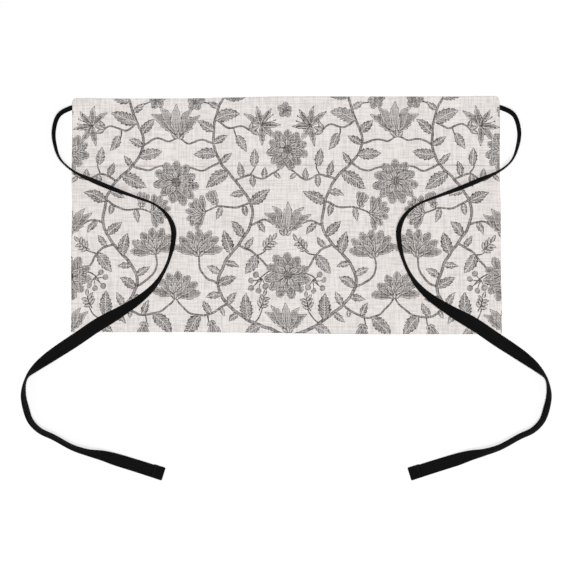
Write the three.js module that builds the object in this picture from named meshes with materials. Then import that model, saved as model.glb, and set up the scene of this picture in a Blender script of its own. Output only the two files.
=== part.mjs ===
// Half waist apron: a printed cloth panel with three pockets and two tape ties, laid out on its
// back. Millimetres, +Z up, +Y towards the waist edge. The origin is on the surface that the
// apron lies on, under the middle of the body panel.
import * as THREE from 'three';

// Cloth
const APRON_WIDTH = 550;
const APRON_HEIGHT = 301;
const CLOTH_THICKNESS = 1.2;
const CORNER_RADIUS = 9; // of the two waist corners
const SEAM_GAP = 0.3; // between two pieces that are sewn together

// Pockets
const POCKET_COUNT = 3;
const POCKET_DEPTH = 213;
const MOUTH_GAPE = 9; // how far the mouth stands open in the middle of a pocket
const SEAM_ALLOWANCE = 4; // flat strip on each side of a pocket
const BOTTOM_HEM = 10; // flat strip along the bottom
const GAPE_ACROSS = 1.3; // higher makes a pocket more pointed across
const GAPE_DOWN = 1.6; // higher keeps a pocket open further down

// Ties
const TAPE_WIDTH = 16;
const TAPE_THICKNESS = 1.2;
const TAPE_HEM = 14; // length of the free end that is folded back
const SURFACE_CLEARANCE = 0.2; // between a tie and what it lies on
const EDGE_RAMP = 18; // a tie comes down from the cloth's edge to the floor over this length
const LIFT_LENGTH = 25; // the cloth lies over the sewn end of a tie this far in from the edge,
const LIFT_HALF = 12; // and this far to each side of it,
const LIFT_SLOPE = 36; // and comes down to the floor over this length

// Left tie from its sewn end to its free end, seen from above: x and y of the middle of the tape,
// roll, its turn about its own length in degrees, where 0 and 180 lie flat and 90 stands on edge,
// and fold, 1 where it is sewn in folded in half along its length and 0 where it is open.
const TIE_ROUTE = [
  { x: -256.0, y: 140.6, roll: 0, fold: 1 },
  { x: -276.5, y: 135.4, roll: 0, fold: 1 },
  { x: -290.2, y: 126.2, roll: 62, fold: 0.3 },
  { x: -297.6, y: 106.4, roll: 68, fold: 0 },
  { x: -295.6, y: 87.3, roll: 73, fold: 0 },
  { x: -288.0, y: 70.3, roll: 80, fold: 0 },
  { x: -272.3, y: 55.6, roll: 90, fold: 0 },
  { x: -245.6, y: 43.8, roll: 107, fold: 0 },
  { x: -220.1, y: 34.2, roll: 113, fold: 0 },
  { x: -192.5, y: 23.6, roll: 105, fold: 0 },
  { x: -167.0, y: 11.9, roll: 101, fold: 0 },
  { x: -152.1, y: -1.9, roll: 107, fold: 0 },
  { x: -145.0, y: -18.8, roll: 112, fold: 0 },
  { x: -144.9, y: -36.9, roll: 107, fold: 0 },
  { x: -150.6, y: -57.1, roll: 101, fold: 0 },
  { x: -158.5, y: -75.2, roll: 107, fold: 0 },
  { x: -169.2, y: -92.1, roll: 126, fold: 0 },
  { x: -185.5, y: -108.1, roll: 140, fold: 0 },
  { x: -210.5, y: -123.6, roll: 156, fold: 0 },
  { x: -241.4, y: -140.4, roll: 180, fold: 0 },
  { x: -270.4, y: -158.2, roll: 180, fold: 0 },
  { x: -303.8, y: -181.2, roll: 144, fold: 0 },
  { x: -322.1, y: -196.2, roll: 120, fold: 0 },
  { x: -332.4, y: -208.6, roll: 90, fold: 0 },
  { x: -336.9, y: -229.7, roll: 71, fold: 0 },
  { x: -333.5, y: -247.7, roll: 69, fold: 0 },
  { x: -326.7, y: -263.7, roll: 69, fold: 0 },
  { x: -315.3, y: -275.7, roll: 67, fold: 0 },
  { x: -298.1, y: -284.7, roll: 70, fold: 0 },
  { x: -272.7, y: -297.5, roll: 67, fold: 0 },
  { x: -253.1, y: -304.6, roll: 64, fold: 0 },
  { x: -235.1, y: -307.9, roll: 44, fold: 0 },
  { x: -216.9, y: -312.8, roll: 24, fold: 0 },
  { x: -189.4, y: -321.9, roll: 0, fold: 0 },
  { x: -158.5, y: -331.8, roll: 0, fold: 0 },
];
const STEPS_PER_ROW = 2;
const HEM_STEP = 0.02; // of a row, over which the folded end's second layer starts

// Steps of the cloth's grid
const CORNER_STEPS = 4;
const LIFT_STEPS = 4;
const LEVEL_COLUMNS = 6; // from a lifted corner to the middle
const LEVEL_ROWS = 9; // from the bottom hem to the lifted corners
const POCKET_STEPS = 12;

// Worked out from the sizes above
const HALF_WIDTH = APRON_WIDTH / 2;
const WAIST_Y = APRON_HEIGHT / 2;
const HEM_Y = -APRON_HEIGHT / 2;
const MOUTH_Y = HEM_Y + POCKET_DEPTH;
const POCKET_UNDERSIDE = CLOTH_THICKNESS + SEAM_GAP; // where the pocket panel is sewn down
const SEWN_TOP = POCKET_UNDERSIDE + CLOTH_THICKNESS;
const POCKET_WIDTH = APRON_WIDTH / POCKET_COUNT;
const POCKET_HALF = POCKET_WIDTH / 2 - SEAM_ALLOWANCE;
const FOLDED_TAPE = 2 * TAPE_THICKNESS;
const TIE_LIFT = SURFACE_CLEARANCE + FOLDED_TAPE + SEAM_GAP; // the cloth lies over the sewn end
const TIE_Y = TIE_ROUTE[1].y;

const UP = new THREE.Vector3(0, 0, 1);
const { clamp, degToRad, lerp, smoothstep } = THREE.MathUtils;

const clothMaterial = () =>
  new THREE.MeshStandardMaterial({ color: 0xdfdad6, roughness: 0.9, metalness: 0 });
const tapeMaterial = () =>
  new THREE.MeshStandardMaterial({ color: 0x161616, roughness: 0.85, metalness: 0 });

function spread(from, to, count) {
  return Array.from({ length: count + 1 }, (_, i) => lerp(from, to, i / count));
}

function namedMesh(name, positions, triangles, material) {
  const geometry = new THREE.BufferGeometry();
  geometry.setAttribute('position', new THREE.Float32BufferAttribute(positions, 3));
  geometry.setIndex(triangles);
  geometry.computeVertexNormals();
  const mesh = new THREE.Mesh(geometry, material);
  mesh.name = name;
  return mesh;
}

// A closed sheet of cloth over a grid: underside(x, y) is its height, and topEdge(x) the y of its
// last row, so that the rows between follow a curved edge.
function clothSheet(name, columns, rows, underside, topEdge) {
  const positions = [];
  const bottomEdge = rows[0];
  const straightTop = rows[rows.length - 1];
  for (const layer of [0, CLOTH_THICKNESS]) {
    for (const x of columns) {
      const stretch = (topEdge(x) - bottomEdge) / (straightTop - bottomEdge);
      for (const row of rows) {
        const y = bottomEdge + (row - bottomEdge) * stretch;
        positions.push(x, y, underside(x, y) + layer);
      }
    }
  }
  const layerSize = columns.length * rows.length;
  const lastColumn = columns.length - 1;
  const lastRow = rows.length - 1;
  const at = (column, row) => column * rows.length + row;
  const triangles = [];
  for (let c = 0; c < lastColumn; c += 1) {
    for (let r = 0; r < lastRow; r += 1) {
      const [a, b, d, e] = [at(c, r), at(c + 1, r), at(c + 1, r + 1), at(c, r + 1)];
      triangles.push(a, d, b, a, e, d);
      triangles.push(...[a, b, d, a, d, e].map((v) => v + layerSize));
    }
  }
  const rim = [];
  for (let c = 0; c < lastColumn; c += 1) rim.push(at(c, 0));
  for (let r = 0; r < lastRow; r += 1) rim.push(at(lastColumn, r));
  for (let c = lastColumn; c > 0; c -= 1) rim.push(at(c, lastRow));
  for (let r = lastRow; r > 0; r -= 1) rim.push(at(0, r));
  rim.forEach((a, i) => {
    const b = rim[(i + 1) % rim.length];
    triangles.push(a, b, b + layerSize, a, b + layerSize, a + layerSize);
  });
  return namedMesh(name, positions, triangles, clothMaterial());
}

// The body panel lies flat, and rises a little over the sewn end of each tie.
function bodyLift(x, y) {
  const inset = HALF_WIDTH - Math.abs(x);
  const across = 1 - smoothstep(inset, LIFT_LENGTH, LIFT_LENGTH + LIFT_SLOPE);
  const along = 1 - smoothstep(Math.abs(y - TIE_Y), LIFT_HALF, LIFT_HALF + LIFT_SLOPE);
  return TIE_LIFT * across * along;
}

function waistEdge(x) {
  const inset = Math.min(HALF_WIDTH - Math.abs(x), CORNER_RADIUS);
  const reach = CORNER_RADIUS - inset;
  return WAIST_Y - CORNER_RADIUS + Math.sqrt(CORNER_RADIUS ** 2 - reach ** 2);
}

function bodyPanel() {
  const arc = spread(0, 90, CORNER_STEPS).map((turn) => CORNER_RADIUS * (1 - Math.cos(degToRad(turn))));
  const slope = spread(LIFT_LENGTH, LIFT_LENGTH + LIFT_SLOPE, LIFT_STEPS);
  const level = spread(LIFT_LENGTH + LIFT_SLOPE, HALF_WIDTH, LEVEL_COLUMNS).slice(1);
  const left = [...arc, ...slope, ...level].map((inset) => inset - HALF_WIDTH);
  const right = left.slice(0, -1).map((x) => -x).reverse();
  const liftedFrom = TIE_Y - LIFT_HALF;
  const lifted = spread(liftedFrom, WAIST_Y, LIFT_STEPS);
  const sloped = spread(liftedFrom - LIFT_SLOPE, liftedFrom, LIFT_STEPS).slice(0, -1);
  const flat = spread(HEM_Y, liftedFrom - LIFT_SLOPE, LEVEL_ROWS).slice(0, -1);
  const rows = [...flat, ...sloped, ...lifted];
  return clothSheet('body_panel', [...left, ...right], rows, bodyLift, waistEdge);
}

// How far the pocket panel stands off the body panel: nothing along the seams, most at the
// middle of each mouth.
function pocketGape(x, y) {
  const pocket = clamp(Math.floor((x + HALF_WIDTH) / POCKET_WIDTH), 0, POCKET_COUNT - 1);
  const middle = -HALF_WIDTH + POCKET_WIDTH * (pocket + 0.5);
  const across = Math.min(Math.abs(x - middle) / POCKET_HALF, 1);
  const down = clamp((MOUTH_Y - y) / (POCKET_DEPTH - BOTTOM_HEM), 0, 1);
  return MOUTH_GAPE * (1 - across ** 2) ** GAPE_ACROSS * (1 - down ** GAPE_DOWN);
}

function pocketPanel() {
  const columns = [-HALF_WIDTH];
  for (let pocket = 0; pocket < POCKET_COUNT; pocket += 1) {
    const middle = -HALF_WIDTH + POCKET_WIDTH * (pocket + 0.5);
    columns.push(...spread(middle - POCKET_HALF, middle + POCKET_HALF, POCKET_STEPS));
  }
  columns.push(HALF_WIDTH);
  const rows = [HEM_Y, ...spread(HEM_Y + BOTTOM_HEM, MOUTH_Y, POCKET_STEPS)];
  const underside = (x, y) => POCKET_UNDERSIDE + pocketGape(x, y);
  return clothSheet('pocket_panel', columns, rows, underside, () => MOUTH_Y);
}

// Height of what a tie lies on: the pocket panel, a slope down beside its edges, or the floor.
function layHeight(x, y) {
  const outside = Math.max(Math.abs(x) - HALF_WIDTH, HEM_Y - y, 0);
  const slope = 1 - smoothstep(outside, 0, EDGE_RAMP);
  const besidePockets = y < MOUTH_Y + EDGE_RAMP;
  return besidePockets ? slope * (SEWN_TOP + pocketGape(x, y)) : 0;
}

// One tie: the tape's rectangular section set along the route, turned by its roll, and raised so
// that its lowest edge lies on what is under it. side is -1 for the left tie and 1 for the right.
function tie(name, side) {
  const route = TIE_ROUTE.map(({ x, y }) => new THREE.Vector3(-side * x, y, 0));
  const curve = new THREE.CatmullRomCurve3(route);
  const lastRow = TIE_ROUTE.length - 1;
  const hemStart = lastRow - TAPE_HEM / route[lastRow].distanceTo(route[lastRow - 1]);
  const places = spread(0, lastRow, lastRow * STEPS_PER_ROW).filter(
    (place) => place === lastRow || place < hemStart,
  );
  places.splice(-1, 0, hemStart, hemStart + HEM_STEP);

  const positions = [];
  for (const place of places) {
    const row = Math.min(Math.floor(place), lastRow - 1);
    const between = place - row;
    const roll = lerp(TIE_ROUTE[row].roll, TIE_ROUTE[row + 1].roll, between) * side;
    const fold = lerp(TIE_ROUTE[row].fold, TIE_ROUTE[row + 1].fold, between);
    const layers = place > hemStart ? 2 : 1 + fold;
    const halfWidth = (TAPE_WIDTH / 2) * (1 - fold / 2);
    const halfThickness = (TAPE_THICKNESS / 2) * layers;

    const tangent = curve.getTangent(place / lastRow);
    const level = new THREE.Vector3().crossVectors(UP, tangent);
    const [flat, upright] = [Math.cos(degToRad(roll)), Math.sin(degToRad(roll))];
    const across = level.clone().multiplyScalar(flat).addScaledVector(UP, upright);
    const through = new THREE.Vector3().crossVectors(tangent, across);

    const middle = curve.getPoint(place / lastRow);
    const under = [-1, 0, 1].map((edge) => {
      const reach = edge * halfWidth * flat;
      return layHeight(middle.x + level.x * reach, middle.y + level.y * reach);
    });
    const rise = halfWidth * Math.abs(upright) + halfThickness * Math.abs(flat);
    middle.z = Math.max(...under) + SURFACE_CLEARANCE + rise;
    for (const [w, t] of [[1, 1], [-1, 1], [-1, -1], [1, -1]]) {
      const corner = middle.clone();
      corner.addScaledVector(across, w * halfWidth);
      corner.addScaledVector(through, t * halfThickness);
      positions.push(corner.x, corner.y, corner.z);
    }
  }

  const triangles = [0, 2, 1, 0, 3, 2];
  const last = 4 * (places.length - 1);
  for (let first = 0; first < last; first += 4) {
    for (let k = 0; k < 4; k += 1) {
      const [a, b] = [first + k, first + ((k + 1) % 4)];
      // Both faces split along the same diagonal, so that the tape keeps its thickness in a twist.
      if (k < 2) triangles.push(a, b, b + 4, a, b + 4, a + 4);
      else triangles.push(a, b, a + 4, b, b + 4, a + 4);
    }
  }
  triangles.push(last, last + 1, last + 2, last, last + 2, last + 3);
  return namedMesh(name, positions, triangles, tapeMaterial());
}

const apron = new THREE.Group();
apron.add(bodyPanel(), pocketPanel(), tie('tie_left', -1), tie('tie_right', 1));

export default apron;
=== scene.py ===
# %% [markdown]
# # A half waist apron, laid out flat
# The apron is a panel of linen-look cloth with a grey floral print. A second panel, sewn over its
# lower part along the sides, the bottom and two seams between, makes three pockets. A long black
# tape is sewn in at each end of the waist edge. The packed model holds the sizes and the places of
# these four pieces, so the lesson starts by loading it. Each soft solid is then replaced by a
# piece that shows how it is made.

# %% Load the frame
from math import ceil, cos, pi, radians, sin

import bpy
import numpy as np
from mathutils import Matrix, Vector
from mathutils.geometry import delaunay_2d_cdt


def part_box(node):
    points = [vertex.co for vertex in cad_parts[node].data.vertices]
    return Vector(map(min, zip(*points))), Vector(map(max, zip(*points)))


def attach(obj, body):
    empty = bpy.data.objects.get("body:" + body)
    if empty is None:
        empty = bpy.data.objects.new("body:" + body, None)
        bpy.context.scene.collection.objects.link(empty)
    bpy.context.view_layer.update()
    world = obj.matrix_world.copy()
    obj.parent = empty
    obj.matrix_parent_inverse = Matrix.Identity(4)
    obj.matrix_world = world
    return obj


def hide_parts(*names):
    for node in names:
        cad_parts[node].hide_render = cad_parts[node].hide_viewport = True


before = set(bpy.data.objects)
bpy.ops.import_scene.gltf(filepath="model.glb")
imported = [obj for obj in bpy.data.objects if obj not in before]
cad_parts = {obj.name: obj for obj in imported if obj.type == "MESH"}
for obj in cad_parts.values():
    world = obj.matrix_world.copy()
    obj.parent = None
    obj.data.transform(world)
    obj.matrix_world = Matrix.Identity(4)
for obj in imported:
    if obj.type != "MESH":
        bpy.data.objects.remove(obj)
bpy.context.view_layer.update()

MM = 0.001

# %% [markdown]
# ## The camera
# The photograph was taken from straight above, from far enough away that nothing leans. An
# orthographic camera would do that too, but a long lens also works for the other views, which are
# taken with this same camera. Its distance follows from how much of the surface the picture spans.

# %% Camera straight above the surface
PHOTO_SPAN = 0.7338  # metres of the surface from side to side of the picture
PHOTO_MIDDLE_Y = -0.0922
LENS = 200.0  # millimetres, as is the width of the sensor
SENSOR = 36.0

bpy.ops.object.select_all(action="DESELECT")
bpy.ops.object.camera_add(
    location=(0, PHOTO_MIDDLE_Y, PHOTO_SPAN * LENS / SENSOR), rotation=(0, 0, 0)
)
camera = bpy.context.object
camera.data.lens = LENS
camera.data.sensor_width = SENSOR
bpy.context.scene.camera = camera
print("camera stands", round(camera.location.z, 2), "m above the surface")

# %% [markdown]
# ## The lie of the cloth
# Cloth that has been smoothed out by hand still keeps some slack: long low waves, a pocket mouth
# that stands a little open, and a rise where it lies over a tie. A simulation would give waves that
# differ from run to run and from the solids, so the heights are written here as plain functions of
# the place. The panels, the stitches and the ties all ask these functions where the cloth is, and
# so they lie on each other without a gap and without sinking in.

# %% Sizes from the frame, and how the panels lie
body_low, body_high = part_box("body_panel")
pocket_low, pocket_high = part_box("pocket_panel")
HALF_WIDTH = body_high.x
WAIST_Y = body_high.y
HEM_Y = body_low.y
MOUTH_Y = pocket_high.y
POCKET_SEAT = pocket_low.z  # underside of the pocket panel where it is sewn down

POCKET_COUNT = 3
POCKET_WIDTH = 2 * HALF_WIDTH / POCKET_COUNT
SEAM_ALLOWANCE = 4 * MM
BOTTOM_SEAM = 10 * MM
MOUTH_GAPE = 9 * MM
GAPE_ACROSS = 1.3  # powers that round the gape off, across a pocket and down it
GAPE_DOWN = 1.6

TIE_Y = 0.1354
TIE_LIFT = 4.4 * MM  # rise of the cloth over the sewn end of a tie,
LIFT_LENGTH = 25 * MM  # this far in from the edge
LIFT_HALF = 12 * MM  # and this far to each side of the tie,
LIFT_SLOPE = 36 * MM  # and the length over which it comes down again

RIPPLE = 0.5 * MM
SLOW_SHARE = 0.6  # of the ripples, the rest are quick ones
SEAM_THREAD = 0.2 * MM  # the cloth rests on the thread of its seams
WAIST_PUSHED = 0.35 * MM  # the waist edge lies this much high
WAIST_DRAWN = 2.7 * MM  # its left part is drawn down by this much
HEM_DRAWN = 2.6 * MM  # and so is the right part of the bottom edge
LEFT_FADES = (-170 * MM, 10 * MM)  # the left part runs out between these two places
RIGHT_STARTS = (-140 * MM, 140 * MM)  # and the right part sets in between these


def ease(value, start, end):
    """0 before start, 1 after end, and a smooth step between them."""
    t = np.clip((value - start) / (end - start), 0, 1)
    return t * t * (3 - 2 * t)


def wave(ahead, beside, length, sway, sway_length, start):
    """A wave that runs one way, with crests that sway along the other way."""
    return np.sin(ahead / length + sway * np.sin(beside / sway_length + start))


def ripples(x, y):
    """The slack left in the cloth: long waves, nowhere lower than the thread under it."""
    slow = wave(x, y, length=58 * MM, sway=1.6, sway_length=49 * MM, start=0.4)
    quick = wave(y, x, length=27 * MM, sway=1.9, sway_length=71 * MM, start=1.1)
    return SEAM_THREAD + RIPPLE * (1 + SLOW_SHARE * slow + (1 - SLOW_SHARE) * quick) / 2


def tie_lift(x, y):
    """How far the body panel rises over the sewn end of a tie."""
    across = 1 - ease(HALF_WIDTH - np.abs(x), LIFT_LENGTH, LIFT_LENGTH + LIFT_SLOPE)
    along = 1 - ease(np.abs(y - TIE_Y), LIFT_HALF, LIFT_HALF + LIFT_SLOPE)
    return TIE_LIFT * across * along


def pocket_gape(x, y):
    """How far the pocket panel stands off the body panel: most at the middle of each mouth."""
    pocket = np.clip(np.floor((x + HALF_WIDTH) / POCKET_WIDTH), 0, POCKET_COUNT - 1)
    middle = -HALF_WIDTH + POCKET_WIDTH * (pocket + 0.5)
    across = np.minimum(np.abs(x - middle) / (POCKET_WIDTH / 2 - SEAM_ALLOWANCE), 1)
    down = np.clip((MOUTH_Y - y) / (MOUTH_Y - HEM_Y - BOTTOM_SEAM), 0, 1)
    return MOUTH_GAPE * (1 - across**2) ** GAPE_ACROSS * (1 - down**GAPE_DOWN)


def as_laid(places):
    """Places on a square panel, moved to where they lie. Cloth is never laid quite square."""
    x, y, z = np.asarray(places, float).T
    up = (y - HEM_Y) / (WAIST_Y - HEM_Y)
    left = 1 - ease(x, *LEFT_FADES)
    right = ease(x, *RIGHT_STARTS)
    waist = WAIST_PUSHED - WAIST_DRAWN * left
    return np.column_stack([x, y + waist * up - HEM_DRAWN * right * (1 - up), z])


print("pocket mouth, mm:", round(MOUTH_Y / MM, 1), "above the middle of the panel")

# %% [markdown]
# ## Hems and edges
# Every edge of the apron is folded to the back and stitched. From the front that shows as a band
# that stands up a little, with a line of stitches pulled into it. The edges are never quite
# straight, and the panel is cut a touch wider at the bottom. Folding real hems in mesh would cost
# many faces for a step of half a millimetre, so the band is a step in the cloth's thickness, and
# the cloth's mesh gets extra rows of points just there, so that the step is sharp.

# %% Hem relief, and the two sides of each panel
SIDES = (-1, 1)  # left and right
CLOTH = 0.8 * MM
HEM_WIDTH = 11 * MM
MOUTH_HEM = 32 * MM
HEM_RISE = 0.35 * MM
HEM_DROP = 0.25 * MM  # the fold also stands proud of the back
HEM_STEP = 0.6 * MM
STITCH_INSET = 1.8 * MM  # from the inner fold of the hem to its stitches
STITCH_PULL = 0.25 * MM
STITCH_REACH = 1.1 * MM
EDGE_AT_WAIST = {-1: -1.1 * MM, 1: -2.9 * MM}  # left and right, past half of the width
EDGE_AT_BOTTOM = {-1: 0.7 * MM, 1: 0.3 * MM}
WAVER = 0.35 * MM  # how far an edge strays
WAVER_LENGTH = 19 * MM
WAVER_START = 1.7


def side_edge(y, side):
    """Distance of the panel's side edge from the middle, on the left (-1) or the right (1)."""
    down = (WAIST_Y - y) / (WAIST_Y - HEM_Y)
    waver = WAVER * np.sin(y / WAVER_LENGTH + WAVER_START * side)
    return HALF_WIDTH + EDGE_AT_WAIST[side] * (1 - down) + EDGE_AT_BOTTOM[side] * down + waver


def edge_distance(x, y):
    """Distance inwards from the nearest side or bottom edge."""
    beside = np.where(x < 0, side_edge(y, -1) + x, side_edge(y, 1) - x)
    return np.minimum(beside, y - HEM_Y)


def hem_relief(distance, width):
    """Rise of a hem of that width, less the pull of its stitches, at a distance from the edge."""
    rise = HEM_RISE * (1 - ease(distance, width - HEM_STEP, width + HEM_STEP))
    pull = STITCH_PULL * np.exp(-(((distance - width + STITCH_INSET) / STITCH_REACH) ** 2))
    return rise - pull


def seam_pull(x):
    """Pull of the stitches in the two seams between the pockets."""
    beside = np.abs(np.abs(x) - POCKET_WIDTH / 2)
    return STITCH_PULL * np.exp(-((beside / STITCH_REACH) ** 2))


def body_inset(x, y):
    """Distance inwards from the nearest edge of the body panel."""
    return np.minimum(edge_distance(x, y), WAIST_Y - y)


def body_under(x, y):
    within_hems = ease(body_inset(x, y), HEM_WIDTH - HEM_STEP, HEM_WIDTH)
    return ripples(x, y) + tie_lift(x, y) + HEM_DROP * within_hems


def body_top(x, y):
    middle = ripples(x, y) + tie_lift(x, y) + HEM_DROP + CLOTH
    return middle + hem_relief(body_inset(x, y), HEM_WIDTH)


def pocket_under(x, y):
    gape = pocket_gape(x, y)
    in_hem = 1 - ease(MOUTH_Y - y, MOUTH_HEM - HEM_STEP, MOUTH_HEM)
    return POCKET_SEAT + ripples(x, y) + gape - HEM_DROP * ease(gape, 0, MM) * in_hem


def pocket_top(x, y):
    middle = POCKET_SEAT + ripples(x, y) + pocket_gape(x, y) + CLOTH
    relief = hem_relief(edge_distance(x, y), HEM_WIDTH) + hem_relief(MOUTH_Y - y, MOUTH_HEM)
    return middle + relief - seam_pull(x)


print("hems are", round(HEM_WIDTH / MM), "mm wide, and at the mouths", round(MOUTH_HEM / MM), "mm")

# %% Outline of a panel
WAIST_CORNER = 5.5 * MM
OTHER_CORNER = 1.5 * MM
CORNER_POINTS = 7


def row_at(xs, y):
    """Points at the places xs, all at the same y."""
    return np.column_stack([xs, np.full_like(xs, y)])


def corner(centre, radius, first_degrees):
    """A quarter turn round a corner, anticlockwise."""
    turn = np.radians(np.linspace(first_degrees, first_degrees + 90, CORNER_POINTS))
    return np.column_stack([centre[0] + radius * np.cos(turn), centre[1] + radius * np.sin(turn)])


def panel_outline(top, top_corner, step):
    """The edge of a panel that reaches from the bottom of the apron up to top, anticlockwise."""
    rows = np.arange(HEM_Y + OTHER_CORNER + step, top - top_corner - step / 2, step)
    right_foot = side_edge(HEM_Y, 1) - OTHER_CORNER
    left_foot = OTHER_CORNER - side_edge(HEM_Y, -1)
    right_head = side_edge(top, 1) - top_corner
    left_head = top_corner - side_edge(top, -1)
    bottom = np.arange(left_foot + step, right_foot - step / 2, step)
    head = np.arange(right_head - step, left_head + step / 2, -step)
    return np.vstack([
        row_at(bottom, HEM_Y),
        corner((right_foot, HEM_Y + OTHER_CORNER), OTHER_CORNER, 270),
        np.column_stack([side_edge(rows, 1), rows]),
        corner((right_head, top - top_corner), top_corner, 0),
        row_at(head, top),
        corner((left_head, top - top_corner), top_corner, 90),
        np.column_stack([-side_edge(rows, -1), rows])[::-1],
        corner((left_foot, HEM_Y + OTHER_CORNER), OTHER_CORNER, 180),
    ])


for side in SIDES:
    ends = side_edge(np.array([WAIST_Y, HEM_Y]), side)
    print("side edge at the waist and the bottom, mm from the middle:", np.round(ends / MM, 1))

# %% [markdown]
# ## Shader sums
# Finishes are easier to read as sums than as boxes and links. A small class holds one output
# socket of a node tree. Adding or multiplying two of them puts in the Math node that does it, and
# one method adds any other node with its settings and its sockets.

# %% A socket that can be used in sums


def both_ways(operation):
    """A Python operator that adds a Math node, and its form with the wire on the right."""

    def forward(self, other):
        return self.maths(operation, self, other)

    def reflected(self, other):
        return self.maths(operation, other, self)

    return forward, reflected


class Wire:
    """One output of a material's node tree, for use in Python expressions."""

    def __init__(self, tree, socket=None):
        self.tree = tree
        self.socket = socket

    def plug(self, target, value):
        if isinstance(value, Wire):
            self.tree.links.new(value.socket, target)
        else:
            target.default_value = value

    def add(self, kind, settings=None, inputs=None, output=0):
        node = self.tree.nodes.new(kind)
        for name, value in (settings or {}).items():
            setattr(node, name, value)
        for name, value in (inputs or {}).items():
            self.plug(node.inputs[name], value)
        return Wire(self.tree, node.outputs[output])

    def maths(self, operation, first, second=0.0):
        return self.add("ShaderNodeMath", {"operation": operation}, {0: first, 1: second})

    __add__, __radd__ = both_ways("ADD")
    __sub__, __rsub__ = both_ways("SUBTRACT")
    __mul__, __rmul__ = both_ways("MULTIPLY")
    __truediv__, __rtruediv__ = both_ways("DIVIDE")

    def __abs__(self):
        return self.maths("ABSOLUTE", self)

    def sine(self):
        return self.maths("SINE", self)

    def fraction(self):
        return self.maths("FRACT", self)

    def below(self, limit):
        """1 where this value is less than the limit, and 0 elsewhere."""
        return self.maths("LESS_THAN", self, limit)

    def most(self, other):
        return self.maths("MAXIMUM", self, other)

    def parts(self):
        """The x, y and z of a vector."""
        node = self.add("ShaderNodeSeparateXYZ", {}, {0: self}).socket.node
        return [Wire(self.tree, output) for output in node.outputs]

    def mix(self, first, second):
        """first where this value is 0, second where it is 1, for two colours."""
        return self.add(
            "ShaderNodeMix", {"data_type": "RGBA"}, {0: self, 6: first, 7: second}, output=2
        )

    def noise(self, place, spread, detail=2.0):
        """Noise whose features are about spread = (x, y, z) metres long; None leaves an axis out."""
        scale = [0.0 if size is None else 1.0 / size for size in spread]
        stretched = self.add("ShaderNodeMapping", {}, {"Vector": place, "Scale": scale})
        return self.add(
            "ShaderNodeTexNoise", {}, {"Vector": stretched, "Scale": 1.0, "Detail": detail}
        )


def new_finish(name, roughness, gloss=0.25):
    """A material with a bare surface shader: the material, a wire to start from, the shader."""
    material = bpy.data.materials.new(name)
    material.use_nodes = True
    surface = material.node_tree.nodes["Principled BSDF"]
    surface.inputs["Roughness"].default_value = roughness
    surface.inputs["Specular IOR Level"].default_value = gloss
    return material, Wire(material.node_tree), surface


def emboss(wire, surface, height, strength, depth):
    """Relief that is too fine for the mesh."""
    settings = {"Height": height, "Strength": strength, "Distance": depth}
    wire.plug(surface.inputs["Normal"], wire.add("ShaderNodeBump", {}, settings))


print("Wire can:", [name for name, value in vars(Wire).items() if callable(value)])

# %% [markdown]
# ## Tape and thread finishes
# The ties are flat black cotton tape in a twill weave, so fine ribs run slantwise across it, and
# the two selvedges are a little denser. Its own UV map gives the distance along and across the
# tape, so that the ribs follow every twist. The thread in the hems is close to the cloth's colour.

# %% Black tape and sewing thread
TAPE_WIDTH = 16 * MM
TAPE_BLACK = (0.0030, 0.0030, 0.0031, 1)
TAPE_WORN = (0.0085, 0.0085, 0.0086, 1)
TWILL_PITCH = 1.1 * MM
SELVEDGE = 1.2 * MM
SELVEDGE_SLOPE = 4.0  # per millimetre, where the selvedge starts
WORN_PLACE = (9 * MM, 2.5 * MM, None)  # along and across the tape
STREAK = (60 * MM, 1.6 * MM, None)
THREAD_TWIST = 0.5 * MM
THREAD_PALE = (0.74, 0.70, 0.67, 1)
THREAD_DEEP = (0.55, 0.515, 0.495, 1)
THREAD_BLACK = (0.009, 0.009, 0.009, 1)
THREAD_GREY = (0.022, 0.022, 0.022, 1)


def twill_tape(name):
    material, wire, surface = new_finish(name, roughness=0.82, gloss=0.06)
    measure = wire.add("ShaderNodeUVMap", {"uv_map": "tape"})
    along, across, _ = measure.parts()
    rib = ((along + across) * (2 * pi / TWILL_PITCH)).sine()
    wear = wire.noise(measure, WORN_PLACE, detail=3.0)
    edge = abs(across) * (1 / MM) - (TAPE_WIDTH / 2 - SELVEDGE) / MM
    selvedge = wire.add("ShaderNodeClamp", {}, {"Value": edge * SELVEDGE_SLOPE})
    streak = wire.noise(measure, STREAK)
    tone = 0.25 + 0.2 * rib + 0.7 * (wear - 0.5) + 0.9 * (streak - 0.5) + 0.2 * selvedge
    wire.plug(surface.inputs["Base Color"], tone.mix(TAPE_BLACK, TAPE_WORN))
    emboss(wire, surface, 0.5 * rib + selvedge, strength=0.4, depth=0.15 * MM)
    return material


def thread(name, deep, pale):
    material, wire, surface = new_finish(name, roughness=0.75)
    place = wire.add("ShaderNodeTexCoord", output="Object")
    twist = wire.noise(place, (THREAD_TWIST, THREAD_TWIST, THREAD_TWIST))
    tone = 0.5 + 2.0 * (twist - 0.5)
    wire.plug(surface.inputs["Base Color"], tone.mix(deep, pale))
    return material


black_tape = twill_tape("black_tape")
pale_thread = thread("pale_thread", THREAD_DEEP, THREAD_PALE)
black_thread = thread("black_thread", THREAD_BLACK, THREAD_GREY)
print("tape and thread finishes:", black_tape.name, pale_thread.name, black_thread.name)

# %% [markdown]
# ## The ties
# Each tie is a flat tape that comes out from under the panel folded in three, opens, and swings
# round over the pocket and down onto the surface, standing on its edge where it bends sharply and
# lying flat where it runs straight. A curve with a bevel can't be folded along its length, so the
# tape is made from cross-sections: a strip that is bent round two folds, turned by its roll, and
# lifted until it just touches what lies under it. The route is the solids', to three millimetres.

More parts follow.
